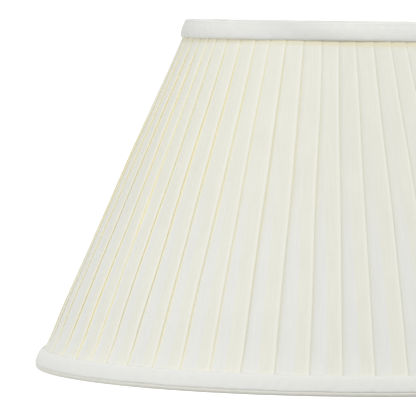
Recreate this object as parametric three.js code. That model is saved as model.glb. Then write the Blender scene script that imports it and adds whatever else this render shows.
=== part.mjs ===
// A pleated empire lamp shade: knife-pleated cloth over a wire frame, lined inside, with a
// flat ribbon band at each rim and a three-armed spider fitter for a lamp harp.
// Millimetres, +Z up. The axis of the cone is Z, and the shade stands on Z = 0.

import * as THREE from 'three';

// Driving dimensions
const HEIGHT = 245;              // rim to rim
const RIM_R = 202.8;             // bottom bead, outer radius
const TOP_R = 102;               // top bead, outer radius
const TOP_BAND_R = 104.8;        // top band at its widest
const CONE_R = 202.3;            // radius of the pleat folds, extended down to Z = 0
const CONE_SLOPE = 0.43;         // loss of radius for each millimetre of height
const PLEATS = 56;               // seven in each of the eight gaps between ribs
const RIBS = 8;
const ARMS = 3;
const BAND_HEIGHT = 13.2;        // ribbon band with its bead

// Wire and cloth
const RING_WIRE_R = 1.2;
const RIB_WIRE_R = 1;
const BEAD_R = 1.9;              // binding tape round a ring
const WELD_GAP = 0.35;           // room between wires that are welded on the real frame
const CLOTH_GAP = 0.3;
const TAPE = 0.6;                // thickness of lining, tape and sleeve
const PLEAT_STACK = 1.9;         // three layers of pleated cloth
const PLEAT_STEP = 1.1;          // drop from a fold to the panel beside it
const FOLD_WIDTH = 0.1;          // share of the pitch that this drop takes
const BINDING_OPENING = 50;      // half of the binding's inner slit, degrees

// Spider fitter
const SPIDER_DROP = 19;          // washer below the top ring
const WASHER_R = 12.7;
const WASHER_HOLE_R = 5.35;
const WASHER_THICKNESS = 1.6;
const ARM_LEVEL_END_R = 82;      // where an arm starts to slope down
const ARM_FLAT_R = 24;           // where it levels out again beside the washer
const SLEEVE_LENGTH = 10.5;

// Worked out from these
const HALF_STEP = Math.PI / PLEATS;
const SLANT = Math.hypot(1, CONE_SLOPE);
const bottomRing = { r: RIM_R - BEAD_R, z: BEAD_R };
const topRing = { r: TOP_R - BEAD_R, z: HEIGHT - BEAD_R };
const ringToRib = RING_WIRE_R + RIB_WIRE_R + WELD_GAP;
const foldRadius = (z) => CONE_R - CONE_SLOPE * z;
const ribInset = foldRadius(bottomRing.z) - bottomRing.r + ringToRib * SLANT;
const ribHalf = RIB_WIRE_R * SLANT;
const liningInset = ribInset + ribHalf + WELD_GAP;
const innerTapeInset = liningInset + TAPE + CLOTH_GAP;
const collarFoldR = topRing.r - ringToRib + ribInset;
const collarZ = (CONE_R - collarFoldR) / CONE_SLOPE;
const clothTop = HEIGHT - 2 * BEAD_R - CLOTH_GAP;
const liningTop = topRing.z - RING_WIRE_R - 2 * CLOTH_GAP;

// Radius of the fold line at a height, where the cone turns into an upright collar at the top
const shellRadius = (z) => Math.max(foldRadius(z), collarFoldR);
const polar = (r, angle, z) => new THREE.Vector3(r * Math.cos(angle), r * Math.sin(angle), z);
const degrees = THREE.MathUtils.degToRad;

// Materials
const cloth = (colour, roughness) => new THREE.MeshStandardMaterial({ color: colour, roughness, metalness: 0 });
const pleatCloth = cloth(0xf3efdd, 0.85);
const liningCloth = cloth(0xf4f2ea, 0.9);
const ribbonCloth = cloth(0xf1f1ec, 0.7);
const tapeCloth = cloth(0xeeede4, 0.9);
const whitePaint = new THREE.MeshStandardMaterial({ color: 0xe9e9e4, roughness: 0.4, metalness: 0.1 });

const shade = new THREE.Group();
shade.name = 'lamp_shade';

function addPiece(name, geometry, material, parent = shade) {
  const mesh = new THREE.Mesh(geometry, material);
  mesh.name = name;
  parent.add(mesh);
  return mesh;
}

// A closed outline of [radius, height] points, listed anticlockwise, turned about Z
function turned(outline, segments = PLEATS, start = HALF_STEP) {
  const points = [...outline, outline[0]].map(([r, z]) => new THREE.Vector2(r, z));
  return new THREE.LatheGeometry(points, segments, start).rotateX(Math.PI / 2);
}

// Points of an arc about a centre, from one angle to another in degrees
function arcPoints(centre, radius, from, to, steps) {
  return Array.from({ length: steps + 1 }, (_, i) => {
    const angle = degrees(from + (to - from) * i / steps);
    return [centre.r + radius * Math.cos(angle), centre.z + radius * Math.sin(angle)];
  });
}

// A strip that follows the cone at an inset from the fold line, between two heights
function coneStrip(inset, thickness, low, high) {
  const heights = high > collarZ ? [low, collarZ, high] : [low, high];
  const outer = heights.map((z) => [shellRadius(z) - inset, z]);
  const inner = heights.map((z) => [shellRadius(z) - inset - thickness, z]).reverse();
  return turned([...outer, ...inner]);
}

// Round bar through a list of points, with its steps on the points
function wire(points, radius, sides = 8) {
  const section = new THREE.Shape();
  for (let i = 0; i < sides; i += 1) {
    const angle = 2 * Math.PI * (i + 0.5) / sides;
    const place = [radius * Math.cos(angle), radius * Math.sin(angle)];
    if (i === 0) section.moveTo(...place);
    else section.lineTo(...place);
  }
  section.closePath();
  const path = new THREE.CatmullRomCurve3(points, false, 'centripetal');
  path.getUtoTmapping = (u) => u;
  const steps = points.length - 1;
  return new THREE.ExtrudeGeometry(section, { steps, bevelEnabled: false, extrudePath: path });
}

// Wire rings of the frame
function ringWire(ring) {
  return turned(arcPoints(ring, RING_WIRE_R, 22.5, 337.5, 7));
}

// Binding tape round a ring, slit on its inner side where the ribs are welded on
function binding(ring) {
  const limit = 180 - BINDING_OPENING;
  const flatOffset = 15;         // puts a level facet at the lowest and highest points
  const outer = arcPoints(ring, BEAD_R / Math.cos(degrees(flatOffset)), -105, 105, 7);
  const end = arcPoints(ring, BEAD_R, -limit, limit, 1);
  const inner = arcPoints(ring, RING_WIRE_R + CLOTH_GAP, limit, -limit, 8);
  return turned([end[0], ...outer, end[1], ...inner]);
}

// Struts of the frame: straight down the cone, with a short upright end at the top ring
function rib(angle) {
  const low = bottomRing.z - 0.5;
  const bend = 2;
  const at = (z) => polar(shellRadius(z) - ribInset, angle, z);
  return wire([at(low), at(collarZ - bend), at(collarZ + bend), at(topRing.z)], RIB_WIRE_R);
}

// Knife pleats: each panel rises to a fold at its right-hand edge, seen from outside, and
// the cloth drops there to the start of the next panel
function pleatedCover() {
  const rows = [2 * BEAD_R + CLOTH_GAP, collarZ, clothTop];
  const columns = 2 * PLEATS;
  const vertices = [];
  const step = 2 * HALF_STEP;
  for (const z of rows) {
    for (let i = 0; i < columns; i += 1) {
      const isFold = i % 2 === 0;
      const angle = HALF_STEP - Math.PI / 2 + step * (Math.floor(i / 2) + (isFold ? 0 : FOLD_WIDTH));
      vertices.push(...polar(shellRadius(z) - (isFold ? 0 : PLEAT_STEP), angle, z).toArray());
      vertices.push(...polar(shellRadius(z) - PLEAT_STACK, angle, z).toArray());
    }
  }
  const index = (row, column, side) => 2 * (row * columns + column % columns) + side;
  const faces = [];
  const quad = (a, b, c, d) => faces.push(a, b, c, a, c, d);
  const OUTER = 0;
  const INNER = 1;
  const last = rows.length - 1;
  for (let c = 0; c < columns; c += 1) {
    for (let r = 0; r < last; r += 1) {
      quad(index(r, c, OUTER), index(r, c + 1, OUTER), index(r + 1, c + 1, OUTER), index(r + 1, c, OUTER));
      quad(index(r, c + 1, INNER), index(r, c, INNER), index(r + 1, c, INNER), index(r + 1, c + 1, INNER));
    }
    quad(index(0, c + 1, OUTER), index(0, c, OUTER), index(0, c, INNER), index(0, c + 1, INNER));
    quad(index(last, c, OUTER), index(last, c + 1, OUTER), index(last, c + 1, INNER), index(last, c, INNER));
  }
  const geometry = new THREE.BufferGeometry();
  geometry.setAttribute('position', new THREE.Float32BufferAttribute(vertices, 3));
  geometry.setIndex(faces);
  geometry.computeVertexNormals();
  return geometry;
}

// Ribbon bands: a flat folded ribbon round each rim, over the ends of the pleats
function bottomBand() {
  const gap = CLOTH_GAP;
  const thickness = 2.1;
  const low = 2 * BEAD_R + gap;
  const high = BAND_HEIGHT;
  const inner = (z) => foldRadius(z) + gap;
  return turned([
    [inner(low), low],
    [inner(low) + thickness - 0.4, low],
    [inner(low) + thickness, low + 0.5],
    [inner(high) + thickness, high - 1.4],
    [inner(high) + thickness - 0.5, high - 0.4],
    [inner(high), high],
  ]);
}

function topBand() {
  const gap = CLOTH_GAP;
  const low = HEIGHT - BAND_HEIGHT;
  const high = HEIGHT - 2 * BEAD_R - 0.2;
  const face = topRing.r + BEAD_R + gap;
  return turned([
    [foldRadius(low) + gap, low],
    [TOP_BAND_R - 0.6, low],
    [TOP_BAND_R, low + 2.5],
    [TOP_BAND_R - 0.2, low + 5],
    [face + 1.6, high],
    [face, high + 0.6],
    [face - 0.2, high - 0.6],
    [collarFoldR + gap + 0.2, high - 0.8],
    [collarFoldR + gap, collarZ],
  ]);
}

// Spider fitter: a washer for the harp's stud, held by three bent arms
function spiderWasher() {
  const middle = topRing.z - SPIDER_DROP;
  const low = middle - WASHER_THICKNESS / 2;
  const high = middle + WASHER_THICKNESS / 2;
  return turned([[WASHER_HOLE_R, low], [WASHER_R, low], [WASHER_R, high], [WASHER_HOLE_R, high]], 32, 0);
}

function spiderArm(angle) {
  const low = topRing.z - SPIDER_DROP;
  const at = (r, z) => polar(r, angle, z);
  return wire([
    at(topRing.r - RING_WIRE_R - WELD_GAP, topRing.z),
    at(ARM_LEVEL_END_R + 1, topRing.z),
    at(ARM_LEVEL_END_R - 4, topRing.z - 1.2),
    at(ARM_FLAT_R + 3, low + 0.9),
    at(ARM_FLAT_R - 4, low),
    at(WASHER_R + WELD_GAP, low),
  ], RING_WIRE_R);
}

// A short cloth sleeve round an arm's root, slit along its top
function armSleeve(angle) {
  const slit = 40;
  const centre = { r: 0, z: 0 };
  const inside = RING_WIRE_R + CLOTH_GAP;
  const section = [
    ...arcPoints(centre, inside + TAPE, 90 + slit, 450 - slit, 10),
    ...arcPoints(centre, inside, 450 - slit, 90 + slit, 10),
  ];
  const shape = new THREE.Shape(section.map(([x, y]) => new THREE.Vector2(x, y)));
  const sleeve = new THREE.ExtrudeGeometry(shape, { depth: SLEEVE_LENGTH, bevelEnabled: false });
  const outerEnd = shellRadius(HEIGHT) - innerTapeInset - TAPE - CLOTH_GAP;
  sleeve.rotateX(Math.PI / 2);                     // the section stands up, and depth runs to -Y
  sleeve.translate(0, outerEnd, topRing.z);
  sleeve.rotateZ(angle - Math.PI / 2);
  return sleeve;
}

// Assembly
const frame = new THREE.Group();
frame.name = 'frame';
shade.add(frame);
addPiece('top_ring', ringWire(topRing), whitePaint, frame);
addPiece('bottom_ring', ringWire(bottomRing), whitePaint, frame);
for (let i = 0; i < RIBS; i += 1) {
  const angle = 2 * Math.PI * (i + 0.5) / RIBS;
  addPiece(`rib_${i + 1}`, rib(angle), whitePaint, frame);
}
addPiece('spider_washer', spiderWasher(), whitePaint, frame);

for (let i = 0; i < ARMS; i += 1) {
  const angle = -Math.PI / 2 + 2 * Math.PI * i / ARMS;
  addPiece(`spider_arm_${i + 1}`, spiderArm(angle), whitePaint, frame);
  addPiece(`arm_sleeve_${i + 1}`, armSleeve(angle), tapeCloth);
}

addPiece('top_ring_binding', binding(topRing), ribbonCloth);
addPiece('bottom_ring_binding', binding(bottomRing), ribbonCloth);
addPiece('pleated_cover', pleatedCover(), pleatCloth);
addPiece('lining', coneStrip(liningInset, TAPE, bottomRing.z - 0.4, liningTop), liningCloth);
addPiece('top_inner_tape', coneStrip(innerTapeInset, TAPE, HEIGHT - BAND_HEIGHT, liningTop), tapeCloth);
addPiece('bottom_inner_tape', coneStrip(innerTapeInset, TAPE, bottomRing.z - 0.4, BAND_HEIGHT), tapeCloth);
addPiece('top_trim_band', topBand(), ribbonCloth);
addPiece('bottom_trim_band', bottomBand(), ribbonCloth);

export default shade;
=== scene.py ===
"""A knife-pleated empire lamp shade: its cloth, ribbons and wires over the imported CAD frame.

Metres, +Z up, the shade standing on Z = 0 with its axis on Z. Angles round the axis are
measured from the front (-Y), positive to the right.
"""

import math

import bmesh
import bpy
import numpy as np
from mathutils import Matrix, Vector


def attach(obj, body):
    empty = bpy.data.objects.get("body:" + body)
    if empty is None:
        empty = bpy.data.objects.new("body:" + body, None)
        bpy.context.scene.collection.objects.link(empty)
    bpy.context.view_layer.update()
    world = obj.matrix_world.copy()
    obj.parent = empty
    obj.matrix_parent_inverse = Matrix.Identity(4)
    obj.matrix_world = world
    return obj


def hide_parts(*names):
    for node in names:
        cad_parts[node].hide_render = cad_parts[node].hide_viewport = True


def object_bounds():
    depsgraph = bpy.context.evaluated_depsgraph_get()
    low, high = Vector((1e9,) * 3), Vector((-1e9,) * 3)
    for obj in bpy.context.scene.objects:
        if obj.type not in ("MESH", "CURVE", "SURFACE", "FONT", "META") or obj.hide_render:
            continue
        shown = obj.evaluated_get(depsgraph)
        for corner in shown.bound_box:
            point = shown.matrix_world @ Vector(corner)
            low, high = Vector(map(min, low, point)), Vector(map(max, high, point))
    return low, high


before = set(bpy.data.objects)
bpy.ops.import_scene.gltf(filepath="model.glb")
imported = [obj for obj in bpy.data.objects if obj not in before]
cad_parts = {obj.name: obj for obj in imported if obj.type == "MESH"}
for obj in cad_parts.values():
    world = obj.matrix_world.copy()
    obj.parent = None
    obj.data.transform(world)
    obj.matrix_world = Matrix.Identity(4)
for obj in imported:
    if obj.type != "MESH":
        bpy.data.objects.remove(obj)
cad_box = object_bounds()

MM = 0.001

# Driving dimensions, the same as the CAD's
HEIGHT = cad_box[1].z
RIM_R = 202.8 * MM
TOP_R = 102 * MM
CONE_R = 202.3 * MM
CONE_SLOPE = 0.43
PLEATS = 56
RIBS = 8
ARMS = 3
BAND_HEIGHT = 13.2 * MM
RING_WIRE_R = 1.2 * MM
RIB_WIRE_R = 1.0 * MM
BEAD_R = 1.9 * MM
WELD_GAP = 0.35 * MM
CLOTH_GAP = 0.3 * MM
TAPE = 0.6 * MM
SPIDER_DROP = 19 * MM
WASHER_R = 12.7 * MM
WASHER_HOLE_R = 5.35 * MM
WASHER_THICKNESS = 1.6 * MM
ARM_LEVEL_END_R = 82 * MM
ARM_FLAT_R = 24 * MM
SLEEVE_LENGTH = 10.5 * MM

# Cloth, and how far hand work strays from the plan
CLOTH = 0.24 * MM                  # thickness of the pleated cloth
LINING_CLOTH = 0.3 * MM            # of the lining
SLEEVE_CLOTH = 0.45 * MM           # and of an arm sleeve
BINDING_CLOTH = 0.2 * MM           # a ring's binding, pulled tight
UNDERLAP = (10.2 * MM, 9.8 * MM)   # hidden width of a pleat at the bottom and at the top
PLEAT_LEAN = 0.12                  # degrees that a pleat's fold turns from foot to head
PLEAT_WOBBLE = 0.25 * MM           # of a fold to the side
PLEAT_PUFF = 0.10 * MM             # of the cloth in and out
COVER_BELLY = 0.2 * MM             # of the cover half way up
COVER_DRAWN_IN = 0.9 * MM          # above the bottom band
LINING_RIPPLE = 0.1 * MM
SEAM_DEPTH = 0.35 * MM             # of the lining's two seams
SEAM_WIDTH = 2.2 * MM
BOTTOM_CREASE = 0.15 * MM          # depth of a ribbon's slanting creases
TOP_CREASE = 0.11 * MM
INNER_CREASE = 0.05 * MM
TOP_SWAY = 0.12 * MM               # of the top ribbon's lower edge in and out
TAPE_WAVE = 0.04 * MM              # of the bindings round the rings

# Worked out from these
PITCH = 2 * math.pi / PLEATS
SLANT = math.hypot(1, CONE_SLOPE)
BOTTOM_RING = (RIM_R - BEAD_R, BEAD_R)
TOP_RING = (TOP_R - BEAD_R, HEIGHT - BEAD_R)
RING_TO_RIB = RING_WIRE_R + RIB_WIRE_R + WELD_GAP
RIB_INSET = CONE_R - CONE_SLOPE * BOTTOM_RING[1] - BOTTOM_RING[0] + RING_TO_RIB * SLANT
LINING_INSET = RIB_INSET + RIB_WIRE_R * SLANT + WELD_GAP
INNER_TAPE_INSET = LINING_INSET + TAPE + CLOTH_GAP
COLLAR_R = TOP_RING[0] - RING_TO_RIB + RIB_INSET
COLLAR_Z = (CONE_R - COLLAR_R) / CONE_SLOPE
COVER_LOW = 2 * BEAD_R + CLOTH_GAP
COVER_HIGH = HEIGHT - 2 * BEAD_R - CLOTH_GAP
LINING_HIGH = TOP_RING[1] - RING_WIRE_R - 2 * CLOTH_GAP
TOP_BAND_LOW = HEIGHT - BAND_HEIGHT
WASHER_Z = TOP_RING[1] - SPIDER_DROP


def shell_radius(z):
    """Radius of the fold line at a height: the cone, then the upright collar at the top."""
    return np.maximum(CONE_R - CONE_SLOPE * z, COLLAR_R)


def polar(r, angle, z):
    """Points from radius, angle from the front and height, on a last axis of three."""
    r, angle, z = np.broadcast_arrays(r, angle, z)
    return np.stack([r * np.sin(angle), -r * np.cos(angle), z], axis=-1)


def smoothstep(low, high, x):
    t = np.clip((x - low) / (high - low), 0, 1)
    return t * t * (3 - 2 * t)


class Ripple:
    """Smooth uneven values from a sum of waves. The first coordinate is an angle, and repeats
    every turn; the second is a length in metres."""

    def __init__(self, seed, turns, lengths, waves=10):
        draw = np.random.default_rng(seed)
        self.turns = draw.integers(turns[0], turns[1] + 1, waves)
        self.rates = 2 * math.pi / draw.uniform(*lengths, waves) * draw.choice([-1, 1], waves)
        self.phases = draw.uniform(0, 2 * math.pi, waves)

    def __call__(self, angle, along):
        total = 0
        for turns, rate, phase in zip(self.turns, self.rates, self.phases):
            total = total + np.sin(turns * angle + rate * along + phase)
        return total / math.sqrt(len(self.turns) / 2)


def rib_angle(number):
    """Rib 1 of the CAD stands half a step anticlockwise from +X."""
    return 2 * math.pi * (number + 0.5) / RIBS + math.pi / 2


def arm_angle(number):
    return 2 * math.pi * number / ARMS


def near(angle, degrees, sharpness):
    """A smooth bump round the axis: 1 at so many degrees from the front, and 0 far from there."""
    return np.exp(sharpness * (np.cos(angle - np.radians(degrees)) - 1))


def rim_dip(angle):
    """The top ring isn't quite level: its height over its plane at an angle, mostly negative."""
    dent = 0.55 * MM * near(angle, -12, 6)
    far_dent = 0.4 * MM * near(angle, -140, 5)
    tilt = 0.35 * MM * np.sin(angle)
    oval = 0.3 * MM * (1 + np.cos(2 * (angle + math.radians(25))))
    return tilt - oval - dent - far_dent


# ---------------------------------------------------------------- camera and stage

CAMERA_DISTANCE = 2.931      # from the shade's axis
CAMERA_HEIGHT = 0.2554
CAMERA_LENS = 362.8          # millimetres, long: the picture is a crop of a wider one
CAMERA_PAN = 1.633           # degrees to the left of the axis
CAMERA_TILT = 2.795          # degrees down
CAMERA_ROLL = 0.873          # degrees anticlockwise, seen from behind the camera

HORIZON = 1.05               # the studio's brightness at eye level,
OVERHEAD = 0.72              # above it
UNDERFOOT = 0.48             # and below it
FLOOR_HALF = 7.0             # half the width of the floor, which hides the dim world under it
FLOOR_GLOW = 0.42
MIDDLE = (0, 0, 0.1)         # where the lights point


def make_camera():
    data = bpy.data.cameras.new("camera")
    data.lens = CAMERA_LENS
    data.clip_end = 60
    camera = bpy.data.objects.new("camera", data)
    bpy.context.scene.collection.objects.link(camera)
    pan, tilt, roll = (math.radians(x) for x in (CAMERA_PAN, CAMERA_TILT, CAMERA_ROLL))
    turn = (
        Matrix.Rotation(pan, 4, "Z")
        @ Matrix.Rotation(math.pi / 2 - tilt, 4, "X")
        @ Matrix.Rotation(roll, 4, "Z")
    )
    camera.matrix_world = Matrix.Translation((0, -CAMERA_DISTANCE, CAMERA_HEIGHT)) @ turn
    bpy.context.scene.camera = camera


def area_light(name, place, target, size, power):
    data = bpy.data.lights.new(name, "AREA")
    data.shape = "RECTANGLE"
    data.size, data.size_y = size
    data.energy = power
    light = bpy.data.objects.new(name, data)
    light.location = place
    light.rotation_mode = "QUATERNION"
    light.rotation_quaternion = (Vector(target) - Vector(place)).to_track_quat("-Z", "Y")
    bpy.context.scene.collection.objects.link(light)


def make_world():
    """A white studio: brightest at the level of the horizon, dimmer overhead and underfoot."""
    world = bpy.data.worlds.new("studio")
    world.use_nodes = True
    nodes, links = world.node_tree.nodes, world.node_tree.links
    height = nodes.new("ShaderNodeSeparateXYZ")
    links.new(nodes.new("ShaderNodeTexCoord").outputs["Generated"], height.inputs[0])
    ramp = nodes.new("ShaderNodeMapRange")
    for key, value in (("From Min", -1), ("From Max", 1), ("To Min", 0), ("To Max", 1)):
        ramp.inputs[key].default_value = value
    links.new(height.outputs["Z"], ramp.inputs["Value"])
    levels = nodes.new("ShaderNodeValToRGB")
    stops = ((-0.14, UNDERFOOT), (-0.11, HORIZON), (0.02, HORIZON), (0.08, OVERHEAD))
    band = levels.color_ramp
    band.interpolation = "EASE"
    while len(band.elements) < len(stops):
        band.elements.new(0.5)
    for element, (level, _) in zip(band.elements, stops):
        element.position = (level + 1) / 2
    for element, (_, value) in zip(band.elements, stops):
        element.color = (value, value, value, 1)
    links.new(ramp.outputs[0], levels.inputs[0])
    background = nodes["Background"]
    background.inputs["Strength"].default_value = 1
    links.new(levels.outputs[0], background.inputs["Color"])
    bpy.context.scene.world = world


def make_stage():
    mesh = bpy.data.meshes.new("floor")
    corners = [(x * FLOOR_HALF, y * FLOOR_HALF, 0) for x, y in ((-1, -1), (1, -1), (1, 1), (-1, 1))]
    mesh.from_pydata(corners, [], [(0, 1, 2, 3)])
    floor = bpy.data.objects.new("floor", mesh)
    bpy.context.scene.collection.objects.link(floor)
    material, shader, _ = new_material("floor_paper", 0.9)
    shader.inputs["Base Color"].default_value = (0.9, 0.9, 0.9, 1)
    # a light table: it glows a little, so that it stays white
    shader.inputs["Emission Color"].default_value = (1, 1, 1, 1)
    shader.inputs["Emission Strength"].default_value = FLOOR_GLOW
    mesh.materials.append(material)
    # the floor receives light and shadow, and gives none back
    floor.visible_diffuse = False
    floor.visible_shadow = False

    make_world()
    area_light("front_top", (0.95, -1.85, 2.6), MIDDLE, (1.6, 1.6), 43)
    area_light("left", (-2.6, -0.8, -0.2), MIDDLE, (1.2, 0.5), 19)

    view = bpy.context.scene.view_settings
    view.view_transform = "Standard"
    view.look = "None"
    view.exposure = 0


# ---------------------------------------------------------------- materials


def new_material(name, roughness):
    """(material, its Principled shader, a function that adds a node with inputs and properties)."""
    material = bpy.data.materials.new(name)
    material.use_nodes = True
    tree = material.node_tree
    shader = tree.nodes["Principled BSDF"]
    shader.inputs["Roughness"].default_value = roughness

    def add(kind, inputs=(), **properties):
        node = tree.nodes.new(kind)
        for key, value in properties.items():
            setattr(node, key, value)
        for key, value in dict(inputs).items():
            if isinstance(value, bpy.types.NodeSocket):
                tree.links.new(value, node.inputs[key])
            else:
                node.inputs[key].default_value = value
        return node

    return material, shader, add


def mixed(add, kind, factor, a, b):
    """A colour Mix node's result. a and b are colours or sockets."""
    node = add("ShaderNodeMix", data_type="RGBA", blend_type=kind)
    tree = node.id_data
    for index, value in ((0, factor), (6, a), (7, b)):
        if isinstance(value, bpy.types.NodeSocket):
            tree.links.new(value, node.inputs[index])
        else:
            node.inputs[index].default_value = value
    return node.outputs[2]


def maths(add, operation, a, b=0.0, clamp=False):
    return add("ShaderNodeMath", {0: a, 1: b}, operation=operation, use_clamp=clamp).outputs[0]


def stretched_noise(add, coordinates, scale, detail=2.0, seed=0.0):
    """Noise whose cells are 1/scale metres along each coordinate."""
    inputs = {"Vector": coordinates, "Scale": (*scale, 1), "Location": (seed, seed, 0)}
    place = add("ShaderNodeMapping", inputs)
    inputs = {"Vector": place.outputs[0], "Scale": 1, "Detail": detail}
    return add("ShaderNodeTexNoise", inputs, noise_dimensions="2D").outputs["Fac"]


def about_one(add, noise, below, above):
    """A factor that goes from 1 - below to 1 + above with the noise."""
    spread = {"From Min": 0.3, "From Max": 0.7, "To Min": 1 - below, "To Max": 1 + above}
    return add("ShaderNodeMapRange", {"Value": noise, **spread}).outputs[0]


def grey(add, value):
    return add("ShaderNodeCombineColor", {0: value, 1: value, 2: value}).outputs[0]


def weave_height(add, coordinates, thread):
    """Plain weave: warp and weft threads of one pitch, over and under each other."""
    split = add("ShaderNodeSeparateXYZ", {"Vector": coordinates})
    rate = 2 * math.pi / thread
    waves = [maths(add, "SINE", maths(add, "MULTIPLY", split.outputs[i], rate)) for i in (0, 1)]
    return maths(add, "MULTIPLY", *waves)


def cloth_material(name, colour, thread, slub, sheen, roughness=0.85, tint=None, turn=0.0):
    """Woven cloth on the piece's own UV map, which is in metres. thread is the weave's pitch and
    slub its unevenness. tint(add, the base colour's socket) returns the tinted colour."""
    material, shader, add = new_material(name, roughness)
    uv = add("ShaderNodeUVMap", uv_map="cloth").outputs[0]
    if turn:
        uv = add("ShaderNodeMapping", {"Vector": uv, "Rotation": (0, 0, turn)}).outputs[0]
    streaks = stretched_noise(add, uv, (1 / (1.1 * MM), 1 / (26 * MM)), 3)
    cross = stretched_noise(add, uv, (1 / (14 * MM), 1 / (0.9 * MM)), 2, 7.0)
    mottle = stretched_noise(add, uv, (1 / (19 * MM), 1 / (33 * MM)), 2, 3.0)
    along = about_one(add, streaks, slub, slub * 0.6)
    across = about_one(add, cross, slub * 0.35, slub * 0.2)
    patches = about_one(add, mottle, slub * 0.5, slub * 0.3)
    value = maths(add, "MULTIPLY", maths(add, "MULTIPLY", along, across), patches)
    base = mixed(add, "MULTIPLY", 1.0, grey(add, value), (*colour, 1))
    if tint:
        base = tint(add, base)
    material.node_tree.links.new(base, shader.inputs["Base Color"])
    weave = maths(add, "MULTIPLY", weave_height(add, uv, thread), 0.2)
    slubs = maths(add, "ADD", streaks, maths(add, "MULTIPLY", cross, 0.5))
    height = maths(add, "ADD", weave, slubs)
    bump = add("ShaderNodeBump", {"Height": height, "Strength": 0.3, "Distance": 0.1 * MM})
    material.node_tree.links.new(bump.outputs[0], shader.inputs["Normal"])
    shader.inputs["Sheen Weight"].default_value = sheen
    shader.inputs["Sheen Roughness"].default_value = 0.45
    shader.inputs["Specular IOR Level"].default_value = 0.25
    return material


IVORY_SINGLE = (0.735, 0.738, 0.703)   # one layer of the cloth, with the white lining behind it
IVORY_LAYERS = (0.739, 0.736, 0.656)   # where three layers lie on each other
FOLD_BOUNCE = (0.86, 0.80, 0.50)            # painted bounce light and shade deep in a fold, warm as if light bounced between ivory faces
CREST_HIGHLIGHT = (0.785, 0.778, 0.698)          # painted highlight on the rounded edge of a fold
SHADED = (0.62, 0.628, 0.53)           # in the folds that face away from the light
UNDER_BAND_SHADOW = (0.715, 0.67, 0.485)             # painted shadow on the pleats close under the top band
RIBBON = (0.722, 0.728, 0.692)
BINDING = (0.72, 0.715, 0.65)
COTTON = (0.74, 0.73, 0.68)
LINING = (0.75, 0.745, 0.71)
PAINT_DULL = (0.80, 0.80, 0.77)
PAINT_CLEAN = (0.87, 0.87, 0.85)


def painted(add, attribute):
    """The value of one of the mesh's own attributes, or 0 where it has none."""
    return add("ShaderNodeAttribute", attribute_name=attribute).outputs["Fac"]


def pleat_tint(add, base):
    """The pleated cloth's colour, from what surface() wrote on its mesh: its layers, painted bounce
    light and shade in the folds, a painted highlight on the crest beside a fold where the fold value
    is below 0, painted shade in the folds that face away from the light, and a painted shadow under
    the top band."""
    layers = painted(add, "layers")
    fold_light = painted(add, "fold_light")
    ivory = mixed(add, "MIX", layers, (*IVORY_SINGLE, 1), (*IVORY_LAYERS, 1))
    woven = mixed(add, "MULTIPLY", 1.0, base, ivory)
    deep = mixed(add, "MIX", maths(add, "MAXIMUM", fold_light, 0.0), woven, (*FOLD_BOUNCE, 1))
    lit = mixed(add, "MIX", maths(add, "MULTIPLY", fold_light, -1.0, clamp=True), deep, (*CREST_HIGHLIGHT, 1))
    dim = mixed(add, "MIX", painted(add, "shaded"), lit, (*SHADED, 1))
    return mixed(add, "MIX", painted(add, "band_shadow"), dim, (*UNDER_BAND_SHADOW, 1))


def paint_material():
    """White powder coat: a fine orange peel and slightly duller, warmer patches."""
    material, shader, add = new_material("white_powder_coat", 0.38)
    place = add("ShaderNodeTexCoord").outputs["Object"]
    peel = add("ShaderNodeTexNoise", {"Vector": place, "Scale": 900, "Detail": 2})
    patch = add("ShaderNodeTexNoise", {"Vector": place, "Scale": 60, "Detail": 3})
    patch = patch.outputs["Fac"]
    colour = mixed(add, "MIX", patch, (*PAINT_DULL, 1), (*PAINT_CLEAN, 1))
    rough = add("ShaderNodeMapRange", {"Value": patch, "To Min": 0.3, "To Max": 0.5})
    bump = {"Height": peel.outputs["Fac"], "Strength": 0.3, "Distance": 0.05 * MM}
    bump = add("ShaderNodeBump", bump)
    links = material.node_tree.links
    links.new(colour, shader.inputs["Base Color"])
    links.new(rough.outputs[0], shader.inputs["Roughness"])
    links.new(bump.outputs[0], shader.inputs["Normal"])
    return material


# ---------------------------------------------------------------- mesh tools


def smooth_piece(mesh):
    """An object of the mesh and of its name, in the scene."""
    mesh.shade_smooth()
    piece = bpy.data.objects.new(mesh.name, mesh)
    bpy.context.scene.collection.objects.link(piece)
    return piece


def surface(name, grid, uv, close_rows=False, close_columns=False, layers=()):
    """A mesh object of quads over a (rows, columns, 3) grid. uv has one more row or column than
    the grid where that way closes. layers maps attribute names to (rows, columns) values."""
    rows, columns = grid.shape[:2]
    r, c = np.meshgrid(
        np.arange(rows if close_rows else rows - 1),
        np.arange(columns if close_columns else columns - 1),
        indexing="ij",
    )
    corners = [(r, c), (r, c + 1), (r + 1, c + 1), (r + 1, c)]
    faces = np.stack([(a % rows) * columns + b % columns for a, b in corners], axis=-1)
    loops = np.stack([uv[a, b] for a, b in corners], axis=2)
    mesh = bpy.data.meshes.new(name)
    mesh.from_pydata(grid.reshape(-1, 3).tolist(), [], faces.reshape(-1, 4).tolist())
    mesh.uv_layers.new(name="cloth").data.foreach_set("uv", loops.astype(np.float32).ravel())
    for key, values in dict(layers).items():
        attribute = mesh.attributes.new(key, "FLOAT", "POINT")
        attribute.data.foreach_set("value", values.astype(np.float32).ravel())
    return smooth_piece(mesh)


def thicken(piece, thickness):
    modifier = piece.modifiers.new("cloth", "SOLIDIFY")
    modifier.thickness = thickness
    modifier.offset = 0
    modifier.use_even_offset = False


def place_piece(piece, slot, material, *nodes):
    """Gives a piece its material, rides it on the one body and hides the CAD nodes that it replaces.
    slot is not used.
    """
    piece.data.materials.append(material)
    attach(piece, "root")
    if nodes:
        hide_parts(*nodes)


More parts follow.
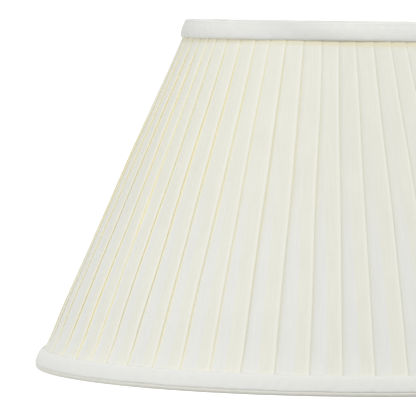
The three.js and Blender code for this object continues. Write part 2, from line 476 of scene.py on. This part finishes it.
def ring_sheet(name, outline, columns, bumps=None, layers=()):
    """A closed (radius, height) outline turned about Z. bumps(angle, outline) gives (radius,
    height) offsets in metres. layers maps attribute names to functions of the same two."""
    outline = np.asarray(outline, float)
    angle = np.linspace(0, 2 * math.pi, columns, endpoint=False)[None, :]
    r, z = outline[:, 0][:, None], outline[:, 1][:, None]
    if bumps:
        dr, dz = bumps(angle, outline)
        r, z = r + dr, z + dz
    grid = polar(r, angle, z)
    closed = np.vstack([outline, outline[:1]])
    along = np.concatenate([[0], np.cumsum(np.linalg.norm(np.diff(closed, axis=0), axis=1))])
    around = np.linspace(0, 2 * math.pi, columns + 1) * outline[:, 0].mean()
    uv = np.stack(np.broadcast_arrays(around[None, :], along[:, None]), axis=-1)
    values = {key: value(angle, outline) for key, value in dict(layers).items()}
    return surface(name, grid, uv, True, True, values)


def ribbon_outline(face, thickness, end_steps=4):
    """A ribbon's closed outline, with two round ends. face is its (radius, height) points on the
    side away from what it lies on, which is to the left of the way that they run."""
    face = np.asarray(face, float)
    ahead = np.gradient(face, axis=0)
    ahead /= np.linalg.norm(ahead, axis=1)[:, None]
    inward = np.stack([-ahead[:, 1], ahead[:, 0]], axis=1) * thickness
    half = inward / 2

    def end(index, way):
        turn = np.linspace(0, math.pi, end_steps + 2)[1:-1][:, None]
        centre = face[index] + half[index]
        forward = way * ahead[index] * thickness / 2
        return centre - half[index] * np.cos(turn) + forward * np.sin(turn)

    return np.vstack([face, end(-1, 1), (face + inward)[::-1], end(0, -1)[::-1]])


def tube(name, path, radius, sides=16, closed=False):
    """A round wire along a path of points, with domed ends where it isn't closed."""
    path = np.asarray(path, float)
    if closed:
        tangent = np.roll(path, -1, 0) - np.roll(path, 1, 0)
    else:
        tangent = np.gradient(path, axis=0)
    tangent /= np.linalg.norm(tangent, axis=1)[:, None]
    side = np.cross(tangent, (0, 0, 1.0))
    # an upright stretch has no side of its own, and takes the first other one's
    upright = np.linalg.norm(side, axis=1) < 1e-6
    side[upright] = side[~upright][0]
    side /= np.linalg.norm(side, axis=1)[:, None]
    up = np.cross(side, tangent)
    radii = np.full(len(path), radius)
    if not closed:
        dome = np.array([0.02, 0.5, 0.87, 1.0])
        reach = radius * np.sqrt(1 - dome**2)
        first = path[0] - tangent[0] * reach[:, None]
        last = (path[-1] + tangent[-1] * reach[:, None])[::-1]
        path = np.vstack([first, path[1:-1], last])
        side, up = (
            np.vstack([np.repeat(way[:1], len(dome), 0), way[1:-1], np.repeat(way[-1:], len(dome), 0)])
            for way in (side, up)
        )
        radii = np.concatenate([dome * radius, radii[1:-1], (dome * radius)[::-1]])
    angle = np.linspace(0, 2 * math.pi, sides, endpoint=False)
    ring = np.cos(angle)[None, :, None] * side[:, None] + np.sin(angle)[None, :, None] * up[:, None]
    grid = path[:, None] + ring * radii[:, None, None]
    uv = np.zeros((len(path) + closed, sides + 1, 2))
    piece = surface(name, grid, uv, closed, True)
    if not closed:
        faces = [tuple(range(sides))[::-1], tuple(range((len(path) - 1) * sides, len(path) * sides))]
        close_ends(piece.data, faces)
    return piece


def close_ends(mesh, faces):
    """Adds the end faces of a tube to its mesh."""
    shape = bmesh.new()
    shape.from_mesh(mesh)
    shape.verts.ensure_lookup_table()
    for face in faces:
        shape.faces.new([shape.verts[i] for i in face]).smooth = True
    bmesh.ops.recalc_face_normals(shape, faces=shape.faces)
    shape.to_mesh(mesh)
    shape.free()


def span(a, b, c, d, steps):
    """Points of a smooth Catmull-Rom curve from b up to c, between its neighbours a and d."""
    t = np.linspace(0, 1, steps, endpoint=False)[:, None]
    square = 2 * a - 5 * b + 4 * c - d
    cube = 3 * b - a - 3 * c + d
    return 0.5 * (2 * b + (c - a) * t + square * t**2 + cube * t**3)


def through(points):
    """A smooth curve through the points."""
    p = np.asarray(points, float)
    padded = np.vstack([2 * p[0] - p[1], p, 2 * p[-1] - p[-2]])
    spans = [span(*padded[i : i + 4], 6) for i in range(len(p) - 1)]
    return np.vstack([*spans, p[-1:]])


def rounded(points):
    """A smooth closed outline through the points."""
    p = np.asarray(points, float)
    around = np.vstack([p[-1:], p, p[:2]])
    return np.vstack([span(*around[i : i + 4], 3) for i in range(len(p))])


def closed_bodies(count, rows, sides, turned=False):
    """Faces of bodies that each have rows of so many vertices and two closed ends. turned faces
    them the other way."""
    faces = []
    size = rows * sides
    way = -1 if turned else 1
    for base in range(0, count * size, size):
        for row in range(base, base + size - sides, sides):
            for c in range(sides):
                d = (c + 1) % sides
                others = (row + d, row + sides + d, row + sides + c)
                faces.append((row + c, *others[::way]))
        faces.append(tuple(range(base, base + sides))[::-way])
        faces.append(tuple(range(base + size - sides, base + size))[::way])
    return faces


# ---------------------------------------------------------------- pleated cover

# Hand pleating is uneven: (waves round the shade, degrees of drift, phase in degrees)
PLEAT_DRIFT = ((5, 0.70, 30), (8, 0.45, -128), (12, 0.35, 121))
SPRUNG_PLEAT = math.radians(-54)  # one pleat has sprung open


def fold_angles():
    """The azimuth of each pleat's fold at mid height, in radians from the front."""
    regular = PITCH * (np.arange(PLEATS) + 0.5) - math.pi
    drift = sum(
        size * np.sin(waves * regular + math.radians(phase))
        for waves, size, phase in PLEAT_DRIFT
    )
    return regular + np.radians(drift)


def cover_heights():
    """Heights of the cover's rows: close together under the bands, even on the open cone."""
    low = MM * np.array([7, 10, 12, 13.5, 15.5, 19])
    open_cone = np.linspace(27 * MM, 216 * MM, 20)
    high = MM * np.array([222, 225.5, 227.2, 228.4, 229.6, 230.8, 232.2, 234])
    return np.array([COVER_LOW, *low, *open_cone, *high, COLLAR_Z, 238.5 * MM, COVER_HIGH])


def pleated_cover():
    """One strip of cloth in knife pleats. Each pleat's face comes out from under the fold on its
    left, crosses a single layer and then its own underlap, and turns under at its fold."""
    z = cover_heights()[:, None]
    share = (z - COVER_LOW) / (COVER_HIGH - COVER_LOW)
    radius = shell_radius(z)
    # the open cloth bellies very slightly, and is drawn in at the bottom band
    belly = COVER_BELLY * np.sin(math.pi * share)
    near_foot = np.exp(-(((np.maximum(z, 14 * MM) - 24 * MM) / (14 * MM)) ** 2))
    radius = radius + belly - COVER_DRAWN_IN * near_foot
    draw = np.random.default_rng(11)
    lean = np.radians(draw.normal(0, PLEAT_LEAN, PLEATS))
    loose = draw.uniform(0.9, 1.1, PLEATS)
    wobble = Ripple(5, (9, 40), (0.11, 0.30))
    swell = Ripple(9, (20, 70), (0.05, 0.16))

    angles = fold_angles()
    fold = angles[None, :] + lean[None, :] * (share - 0.5)
    fold = fold + PLEAT_WOBBLE * wobble(angles[None, :], z) / radius
    before = np.concatenate([fold[:, -1:] - 2 * math.pi, fold[:, :-1]], axis=1)
    pitch = (fold - before) * radius
    under = UNDERLAP[0] + (UNDERLAP[1] - UNDERLAP[0]) * share
    own = np.minimum(under * loose[None, :], 0.9 * pitch)
    last = np.concatenate([own[:, -1:], own[:, :-1]], axis=1)
    open_width = pitch - own

    # the stack's depth in millimetres: it is pressed flatter towards the top and beside the
    # bands, and some pleats are looser than others
    from_band = np.minimum(z - BAND_HEIGHT, TOP_BAND_LOW - z)
    to_right = np.sin(angles)
    pressed_flat = 0.35 + 0.65 * smoothstep(-2 * MM, 22 * MM, from_band)
    press = (1.5 - 0.3 * share + 0.3 * smoothstep(0.1, 0.78, to_right)) * pressed_flat
    sprung = np.exp(-(((angles - SPRUNG_PLEAT) / (PITCH / 3)) ** 2))
    press = press * (draw.uniform(0.85, 1.15, PLEATS) + 0.25 * sprung)[None, :]

    def station(distance, depth, layers, fold_light):
        """Arc distance to the left of the pleat's own fold, height over the fold line as a share
        of the pressed stack, and the two paint values: the layers, and the painted fold light, which
        is bounce light and shade above 0 and a painted highlight below 0."""
        distance = distance * np.ones_like(pitch)
        return distance, depth * MM * press, layers * np.ones_like(pitch), np.full_like(pitch, fold_light)

    room = np.minimum(open_width / (5 * MM), 1)
    single = 0.8 * smoothstep(80 * MM, 150 * MM, z)  # the layers close up towards the top
    stations = [
        # hidden start, under the pleat before
        station(pitch + last - 0.35 * MM, -0.86, 1, 1),
        station(pitch + 0.5 * last, -0.72, 1, 1),
        station(pitch + 1.0 * MM, -0.62, 1, 1),
        # the open face
        station(pitch - 0.2 * MM * room, -0.60, single, 0.85),
        station(pitch - 0.9 * MM * room, -0.62, single, 0.5),
        station(pitch - 1.9 * MM * room, -0.66, single, 0.08),
        station(own + 0.50 * open_width, -0.66, single, 0),
        station(own + 0.30 * open_width, -0.56, single, 0),
        station(own + 0.45 * MM * room, -0.40, single, 0),
        station(own - 0.45 * MM, -0.31, 1, 0),
        station(0.66 * own, -0.15, 1, 0),
        station(0.33 * own, -0.04, 1, -0.1),
        station(1.9 * MM, 0.03, 1, -0.6),
        station(1.0 * MM, 0.05, 0.6, -1.0),
        station(0.5 * MM, 0.02, 0.6, -0.6),
        # the fold
        station(0.18 * MM, -0.07, 0.6, 0.4),
        station(0.0 * MM, -0.24, 1, 0.9),
        station(0.15 * MM, -0.42, 1, 1),
        # the return and the inner fold
        station(0.6 * MM, -0.46, 1, 1),
        station(0.45 * own, -0.50, 1, 1),
        station(own - 0.4 * MM, -0.62, 1, 1),
        station(own - 0.08 * MM, -0.66, 1, 1),
        station(own, -0.76, 1, 1),
    ]
    distance, depth, layers, fold_light = (np.stack(part, axis=-1) for part in zip(*stations))
    angle = fold[..., None] - distance / radius[..., None]
    puff = PLEAT_PUFF * swell(angle, z[..., None])
    puff = puff * smoothstep(0, 12 * MM, z - BAND_HEIGHT)[..., None]
    puff = puff * smoothstep(0, 12 * MM, TOP_BAND_LOW - z)[..., None]
    r = radius[..., None] + depth + puff
    height = np.broadcast_to(z[..., None], r.shape)
    # painted bounce light: folds on the left stand open to the light, and the warm glow painted deep
    # in them is stronger there
    uneven = Ripple(13, (9, 28), (0.06, 0.2))
    bounce_glow = 0.12 + 0.78 * smoothstep(0.48, -0.72, to_right) + 0.6 * sprung
    bounce_glow = bounce_glow * (0.78 + 0.37 * smoothstep(40 * MM, 220 * MM, z))
    bounce_glow = bounce_glow * (1 + 0.25 * uneven(angles[None, :], z))
    # painted shade in the folds on the right, which turn away from the light
    shaded = 0.72 * smoothstep(-0.48, 0.56, to_right)[:, None] * np.maximum(fold_light, 0) ** 0.6
    fold_light = np.where(fold_light > 0, fold_light * bounce_glow[..., None], fold_light)
    # a painted highlight on the cloth beside the bottom ribbon's upper edge
    beside_ribbon = smoothstep(BAND_HEIGHT + 3 * MM, BAND_HEIGHT, height)
    fold_light = np.where(fold_light < 0.3, fold_light - 0.5 * beside_ribbon, fold_light)
    # painted shadow: the top ribbon shades a narrow strip below it, most on the front and the right
    strength = smoothstep(-0.56, 0.3, np.sin(angle))
    strip = 4.5 * MM + 1.5 * MM * strength
    fade = smoothstep(TOP_BAND_LOW - strip, TOP_BAND_LOW - 0.4 * strip, height)
    band_shadow = (0.65 + 0.25 * strength) * fade

    rows = len(z)
    grid = polar(r, angle, height).reshape(rows, -1, 3)
    slant = np.concatenate([[0], np.cumsum(np.hypot(np.diff(radius[:, 0]), np.diff(z[:, 0])))])
    per_pleat = PITCH * RIM_R + 2 * UNDERLAP[0]
    u = (np.arange(PLEATS)[None, :, None] * per_pleat - distance).reshape(rows, -1)
    u = np.concatenate([u, u[:, :1] + PLEATS * per_pleat], axis=1)
    uv = np.stack([u, np.broadcast_to(slant[:, None], u.shape)], axis=-1)
    values = {"layers": layers, "fold_light": fold_light, "shaded": shaded, "band_shadow": band_shadow}
    values = {key: value.reshape(rows, -1) for key, value in values.items()}
    piece = surface("pleated_cloth", grid, uv, False, True, values)
    thicken(piece, CLOTH)
    material = cloth_material("ivory_cloth", (1, 1, 1), 0.28 * MM, 0.022, 0.15, tint=pleat_tint)
    place_piece(piece, "pleat_cloth", material, "pleated_cover")

    ends = zip((COVER_LOW, COVER_HIGH), UNDERLAP)
    widths = [2 * math.pi * shell_radius(h) + 2 * PLEATS * hidden for h, hidden in ends]


# ---------------------------------------------------------------- ribbons, tapes and lining


def ribbon_sheen_and_shade(add, base):
    """The ribbon's painted sheen and shade, where the piece has one: the share by which it is
    brighter, or darker below 0.
    """
    value = maths(add, "ADD", painted(add, "sheen_and_shade"), 1.0)
    return mixed(add, "MULTIPLY", 1.0, base, grey(add, value))


def ribbon_material():
    """Off-white ribbon cut on the bias, so that its threads lie at 45 degrees."""
    return cloth_material("bias_ribbon", RIBBON, 0.3 * MM, 0.010, 0.3, 0.8, ribbon_sheen_and_shade, math.pi / 4)


def binding_material():
    """The ivory tape bound round the ring wires."""
    return cloth_material("binding_cloth", BINDING, 0.5 * MM, 0.02, 0.15, 0.85)


def tape_material():
    return cloth_material("cotton_tape", COTTON, 0.7 * MM, 0.05, 0.1, 0.9)


def lining_material():
    return cloth_material("lining_cloth", LINING, 0.35 * MM, 0.02, 0.25, 0.7)


def pulled_on_the_bias(seed, depth, edge, turns):
    """Bumps for a ribbon: slanting creases across its face and slightly wavy edges. turns is the
    least and the greatest number of creases all the way round."""
    creases = Ripple(seed, turns, (0.012, 0.05), 14)
    waves = Ripple(seed + 1, (8, 40), (5.0, 9.0), 6)

    def bumps(angle, outline):
        z = outline[:, 1][:, None]
        middle, half = outline[:, 1].mean(), np.ptp(outline[:, 1]) / 2
        inside = np.clip(1 - ((z - middle) / half) ** 2, 0, 1)
        return depth * creases(angle, z) * inside, edge * waves(angle, 0 * z)

    return bumps


def bottom_band(material):
    """The ribbon round the foot of the pleats. Its lower edge is rolled under, above the bead."""
    # millimetres (out from the cone, up)
    section = [
        (0.7, 2.95), (1.45, 3.1), (1.95, 3.75), (2.22, 5.0), (2.34, 6.8),
        (2.32, 8.8), (2.12, 10.7), (1.7, 12.1), (0.95, 12.95), (0.05, 13.35),
        (-0.6, 13.15), (-0.5, 12), (-0.4, 9), (-0.3, 6), (0, 4),
    ]
    outline = rounded([(CONE_R - CONE_SLOPE * z * MM + out * MM, z * MM) for out, z in section])
    bumps = pulled_on_the_bias(21, BOTTOM_CREASE, 0.10 * MM, (40, 200))
    piece = ring_sheet("bottom_ribbon", outline, 720, bumps)
    place_piece(piece, "trim_ribbon", material, "bottom_trim_band")


def top_band(material):
    """The ribbon round the head of the pleats, rolled over the top ring to its inner side."""
    # millimetres (out from the top ring's middle, down from the shade's top)
    ring = TOP_RING[0] / MM
    face = [
        (102.6 - ring, 13.4), (103.1 - ring, 13.55), (103.55 - ring, 13.45), (103.95 - ring, 13.0),
        (104.25 - ring, 11.8), (104.1 - ring, 9.6), (103.7 - ring, 7.6), (103.2 - ring, 5.8),
        (102.65 - ring, 4.2),
    ]
    roll = [(1.95, 2.9), (1.55, 1.7), (1.0, 0.8), (0.1, 0.27), (-0.9, 0.6), (-1.7, 1.4), (-1.95, 2.3)]
    turns = np.radians([190, 150, 110, 70, 35, 0])
    under = [(1.55 * math.cos(a), BEAD_R / MM - 1.52 * math.sin(a)) for a in turns]
    back = [
        (101.75 - ring, 4.2), (101.8 - ring, 6.2), (101.9 - ring, 8.5), (102.3 - ring, 10.8),
        (102.75 - ring, 12.8),
    ]
    section = [*face, *roll, *under, *back]
    outline = rounded([(TOP_RING[0] + out * MM, HEIGHT - down * MM) for out, down in section])
    creases = pulled_on_the_bias(31, TOP_CREASE, 0.05 * MM, (30, 130))
    sway = Ripple(33, (4, 11), (5.0, 9.0), 5)

    def height_share(outline):
        return (outline[:, 1][:, None] - TOP_BAND_LOW) / BAND_HEIGHT

    def bumps(angle, outline):
        dr, dz = creases(angle, outline)
        level = height_share(outline)
        # the rim is a little out of level, and the ribbon's face leans in and out
        dr = dr + TOP_SWAY * sway(angle, 0 * level) * (1 - level)
        return dr, dz + rim_dip(angle) * level

    def sheen_and_shade(angle, outline):
        # painted sheen and shade: brighter near the front, darker on the left and across a place near
        # the front that slants with height
        level = height_share(outline)
        slack = (0.125 - 0.05 * level) * near(angle, -2 - 16 * level, 28)
        return 0.02 + 0.035 * near(angle, 10, 25) - 0.07 * near(angle, -80, 20) - slack

    piece = ring_sheet("top_ribbon", outline, 512, bumps, {"sheen_and_shade": sheen_and_shade})
    place_piece(piece, "trim_ribbon", material, "top_trim_band")


def ring_tape(name, node, ring, reach, material, seed, dip=None):
    """Tape folded lengthwise round a wire ring, with its two edges apart on the inner side.
    reach is how far it stands from the ring's middle: outwards, and downwards or upwards."""
    opening = math.radians(130)
    turn = np.linspace(-opening, opening, 19)
    face = [(ring[0] + reach[0] * math.cos(a), ring[1] + reach[1] * math.sin(a)) for a in turn]
    waves = Ripple(seed, (30, 170), (0.004, 0.02), 12)

    def bumps(angle, outline):
        away = outline - np.array(ring)
        length = np.linalg.norm(away, axis=1)[:, None]
        turn = np.arctan2(away[:, 1], away[:, 0])[:, None]
        size = TAPE_WAVE * waves(angle + 0.02 * turn, BEAD_R * turn)
        keep = smoothstep(-math.pi / 2 - 0.5, -math.pi / 2 + 0.9, turn)
        drop = dip(angle) if dip else 0
        return size * keep * away[:, :1] / length, size * keep * away[:, 1:] / length + drop

    piece = ring_sheet(name, ribbon_outline(face, BINDING_CLOTH, 3), 640, bumps)
    place_piece(piece, "trim_ribbon", material, node)


def cone_ribbon(name, node, low, high, material, seed):
    """A flat tape on the inner face of the lining, its good side towards the axis."""
    z = np.linspace(high - TAPE / 2, low + TAPE / 2, 9)
    face = [(float(shell_radius(h)) - INNER_TAPE_INSET - TAPE, h) for h in z]
    bumps = pulled_on_the_bias(seed, INNER_CREASE, 0.10 * MM, (30, 120))
    piece = ring_sheet(name, ribbon_outline(face, TAPE), 384, bumps)
    place_piece(piece, "binding_tape", material, node)
    return face


def lining():
    """Smooth cloth stretched inside the ribs, with two upright seams at the sides."""
    # rows of vertices: evenly up the cone, then two on the collar
    cone = np.linspace(BOTTOM_RING[1] - 0.3 * MM, COLLAR_Z, 34)
    z = np.array([*cone, 238 * MM, LINING_HIGH])[:, None]
    columns = 256
    angle = np.linspace(0, 2 * math.pi, columns, endpoint=False)[None, :]
    pull = Ripple(41, (16, 48), (0.09, 0.3), 8)
    near_rim = np.maximum(smoothstep(60 * MM, 10 * MM, z), smoothstep(190 * MM, 230 * MM, z))
    near_rim = 0.4 + 0.6 * near_rim
    radius = shell_radius(z) - LINING_INSET - TAPE / 2
    seam_gap = np.minimum(np.abs(angle - math.pi / 2), np.abs(angle - 3 * math.pi / 2)) * radius
    seam = SEAM_DEPTH * np.exp(-((seam_gap / SEAM_WIDTH) ** 2))
    r = radius + LINING_RIPPLE * pull(angle, z) * near_rim - seam
    grid = polar(r, angle, z)
    slant = np.concatenate([[0], np.cumsum(np.hypot(np.diff(radius[:, 0]), np.diff(z[:, 0])))])
    # the weave has its true scale half way up
    around = np.linspace(0, 2 * math.pi, columns + 1) * RIM_R * 0.75
    uv = np.stack(np.broadcast_arrays(around[None, :], slant[:, None]), axis=-1)
    piece = surface("lining_cloth", grid, uv, False, True)
    thicken(piece, LINING_CLOTH)
    place_piece(piece, "lining_cloth", lining_material(), "lining")


def arm_sleeves(material):
    """A little cloth sleeve round each spider arm's outer end, slit along its top."""
    outer_end = COLLAR_R - INNER_TAPE_INSET - TAPE - CLOTH_GAP
    slit = math.radians(40)
    turn = np.linspace(math.pi / 2 + slit, math.pi / 2 + 2 * math.pi - slit, 21)
    middle_r = RING_WIRE_R + CLOTH_GAP + TAPE / 2
    steps = 12
    for number in range(ARMS):
        angle = arm_angle(number)
        out = np.array([math.sin(angle), -math.cos(angle), 0])
        side = np.array([math.cos(angle), math.sin(angle), 0])
        along = np.linspace(outer_end - SLEEVE_LENGTH, outer_end, steps)
        flare = 1 + 0.06 * np.sin(np.linspace(0, 9, steps) + number)
        centre = out[None] * along[:, None] + np.array([0, 0, TOP_RING[1] + rim_dip(angle)])
        up = np.array([0, 0, 1.0])
        ring = np.cos(turn)[None, :, None] * side + np.sin(turn)[None, :, None] * up
        grid = centre[:, None] + middle_r * flare[:, None, None] * ring
        u, v = np.meshgrid(turn * middle_r, along)
        piece = surface(f"arm_sleeve_cloth_{number + 1}", grid, np.stack([u, v], axis=-1))
        thicken(piece, SLEEVE_CLOTH)
        place_piece(piece, "binding_tape", material, f"arm_sleeve_{number + 1}")


def stitches(name, face, edge, count, material):
    """Hand stitches over one edge of an inner tape, at face[edge]: short slanting threads from
    the tape to the lining beside it."""
    face = np.asarray(face)
    at = face[edge]
    towards = face[1] - face[0] if edge == 0 else face[-1] - face[-2]
    towards = towards / np.linalg.norm(towards)
    away = np.array([-1.0, 0.0])
    draw = np.random.default_rng(51 + count)
    rings, sides = 6, 6
    thick = 0.17 * MM * np.array([0.35, 0.9, 1, 1, 0.9, 0.35])
    spin = np.linspace(0, 2 * math.pi, sides, endpoint=False)
    vertices = []
    for i in range(count):
        angle = 2 * math.pi * (i + draw.uniform(-0.12, 0.12)) / count
        length = draw.uniform(2.2, 2.9) * MM
        slant = draw.uniform(0.8, 1.3) * MM / at[0]
        t = np.linspace(0, 1, rings)
        spot = at[None] + towards[None] * ((t - 0.62) * length)[:, None]
        spot = spot + away[None] * (0.28 * MM * np.sin(math.pi * t) ** 0.7)[:, None]
        path = polar(spot[:, 0], angle + slant * (t - 0.5), spot[:, 1])
        ahead = np.gradient(path, axis=0)
        ahead /= np.linalg.norm(ahead, axis=1)[:, None]
        across = np.cross(ahead, (math.sin(angle), -math.cos(angle), 0))
        across /= np.linalg.norm(across, axis=1)[:, None]
        normal = np.cross(ahead, across)
        ring = np.cos(spin)[None, :, None] * across[:, None]
        ring = ring + np.sin(spin)[None, :, None] * normal[:, None]
        vertices.extend((path[:, None] + ring * thick[:, None, None]).reshape(-1, 3).tolist())
    mesh = bpy.data.meshes.new(name)
    mesh.from_pydata(vertices, [], closed_bodies(count, rings, sides))
    mesh.uv_layers.new(name="cloth")
    place_piece(smooth_piece(mesh), "binding_tape", material)


# ---------------------------------------------------------------- wire frame


def wire_ring(name, node, ring, material, dip=None):
    """A wire ring. dip gives its height over its plane at an angle."""
    angle = np.linspace(0, 2 * math.pi, 240, endpoint=False)
    drop = dip(angle) if dip else 0
    piece = tube(name, polar(ring[0], angle, ring[1] + drop), RING_WIRE_R, 16, closed=True)
    place_piece(piece, "frame_paint", material, node)


def ribs(material):
    """Wires that follow the inner side of the cover, with a knee below the top ring."""
    bend = 2 * MM
    straight = np.linspace(BOTTOM_RING[1] - 0.5 * MM + RIB_WIRE_R, COLLAR_Z - 2 * bend, 4)
    knee = COLLAR_Z + bend * np.array([-1, -0.5, 0, 0.5, 1])
    for number in range(RIBS):
        angle = rib_angle(number)
        z = np.array([*straight, *knee, TOP_RING[1] + rim_dip(angle) - RIB_WIRE_R])
        r = shell_radius(z) - RIB_INSET
        piece = tube(f"rib_wire_{number + 1}", polar(r, angle, z), RIB_WIRE_R, 12)
        place_piece(piece, "frame_paint", material, f"rib_{number + 1}")


def spider(material):
    """Three bent arms, and the washer that they carry below the top ring."""
    low = WASHER_Z
    for number in range(ARMS):
        angle = arm_angle(number)
        level = TOP_RING[1] + rim_dip(angle)
        route = [
            (TOP_RING[0] - RING_WIRE_R - WELD_GAP - RING_WIRE_R, level),
            (ARM_LEVEL_END_R + 6 * MM, level),
            (ARM_LEVEL_END_R + 1 * MM, level - 0.05 * MM),
            (ARM_LEVEL_END_R - 4 * MM, level - 1.2 * MM),
            (ARM_FLAT_R + 34 * MM, low + 10.6 * MM),
            (ARM_FLAT_R + 3 * MM, low + 0.9 * MM),
            (ARM_FLAT_R - 4 * MM, low),
            (WASHER_R + WELD_GAP + RING_WIRE_R, low),
        ]
        r, z = through(route).T
        piece = tube(f"spider_arm_wire_{number + 1}", polar(r, angle, z), RING_WIRE_R, 16)
        place_piece(piece, "frame_paint", material, f"spider_arm_{number + 1}")

    half = WASHER_THICKNESS / 2
    soft = 0.35 * MM
    corner = np.radians([0, 30, 60, 90])

    def corner_points(r, z, start):
        turn = corner + math.radians(start)
        return [(r + soft * math.cos(a), z + soft * math.sin(a)) for a in turn]

    outline = [
        *corner_points(WASHER_R - soft, low - half + soft, -90),
        *corner_points(WASHER_R - soft, low + half - soft, 0),
        *corner_points(WASHER_HOLE_R + soft, low + half - soft, 90),
        *corner_points(WASHER_HOLE_R + soft, low - half + soft, 180),
    ]
    piece = ring_sheet("harp_washer", outline, 72)
    place_piece(piece, "frame_paint", material, "spider_washer")


def weld_beads(material):
    """Small uneven drops of weld at every joint between wires, painted with them."""
    beside_wire = RING_WIRE_R + WELD_GAP / 2
    spots = []  # (radius, angle, height, the bead's size)
    for angle in map(rib_angle, range(RIBS)):
        level = TOP_RING[1] + rim_dip(angle)
        spots.append((BOTTOM_RING[0] - beside_wire, angle, BOTTOM_RING[1] + 0.4 * MM, 0.85 * MM))
        spots.append((TOP_RING[0] - beside_wire, angle, level, 0.85 * MM))
    for angle in map(arm_angle, range(ARMS)):
        level = TOP_RING[1] + rim_dip(angle)
        spots.append((TOP_RING[0] - beside_wire, angle, level, 0.95 * MM))
        spots.append((WASHER_R + 0.4 * MM, angle, WASHER_Z, 1.35 * MM))
    rows, sides = 9, 14
    tilt = np.linspace(0.04, math.pi - 0.04, rows)[:, None]
    spin = np.linspace(0, 2 * math.pi, sides, endpoint=False)[None, :]
    girth = np.sin(tilt)
    ball = np.stack([girth * np.cos(spin), girth * np.sin(spin), np.cos(tilt) + 0 * spin], axis=-1)
    vertices = []
    for number, (r, angle, z, size) in enumerate(spots):
        uneven = 1 + 0.08 * np.sin(3 * spin + number) * girth
        uneven = uneven + 0.05 * np.sin(2 * tilt + 2 * spin + 2 * number)
        points = ball * uneven[..., None] * size + polar(r, angle, z)
        vertices.extend(points.reshape(-1, 3).tolist())
    mesh = bpy.data.meshes.new("weld_beads")
    mesh.from_pydata(vertices, [], closed_bodies(len(spots), rows, sides, turned=True))
    place_piece(smooth_piece(mesh), "frame_paint", material)


# ---------------------------------------------------------------- assembly

make_camera()
make_stage()

paint = paint_material()
wire_ring("top_ring_wire", "top_ring", TOP_RING, paint, rim_dip)
wire_ring("bottom_ring_wire", "bottom_ring", BOTTOM_RING, paint)
ribs(paint)
spider(paint)
weld_beads(paint)

ribbon = ribbon_material()
binding = binding_material()
ring_tape("top_ring_tape", "top_ring_binding", TOP_RING, (1.42 * MM, 1.42 * MM), binding, 61, rim_dip)
ring_tape("bottom_ring_tape", "bottom_ring_binding", BOTTOM_RING, (1.62 * MM, 1.88 * MM), binding, 71)
lining()
pleated_cover()
bottom_band(ribbon)
top_band(ribbon)

tape = tape_material()
top_face = cone_ribbon("top_inner_ribbon", "top_inner_tape", TOP_BAND_LOW, LINING_HIGH, tape, 81)
low = BOTTOM_RING[1] - 0.4 * MM
bottom_face = cone_ribbon("bottom_inner_ribbon", "bottom_inner_tape", low, BAND_HEIGHT, tape, 91)
stitches("top_tape_stitches", top_face, -1, 84, tape)
stitches("bottom_tape_stitches", bottom_face, 0, 168, tape)
arm_sleeves(tape)
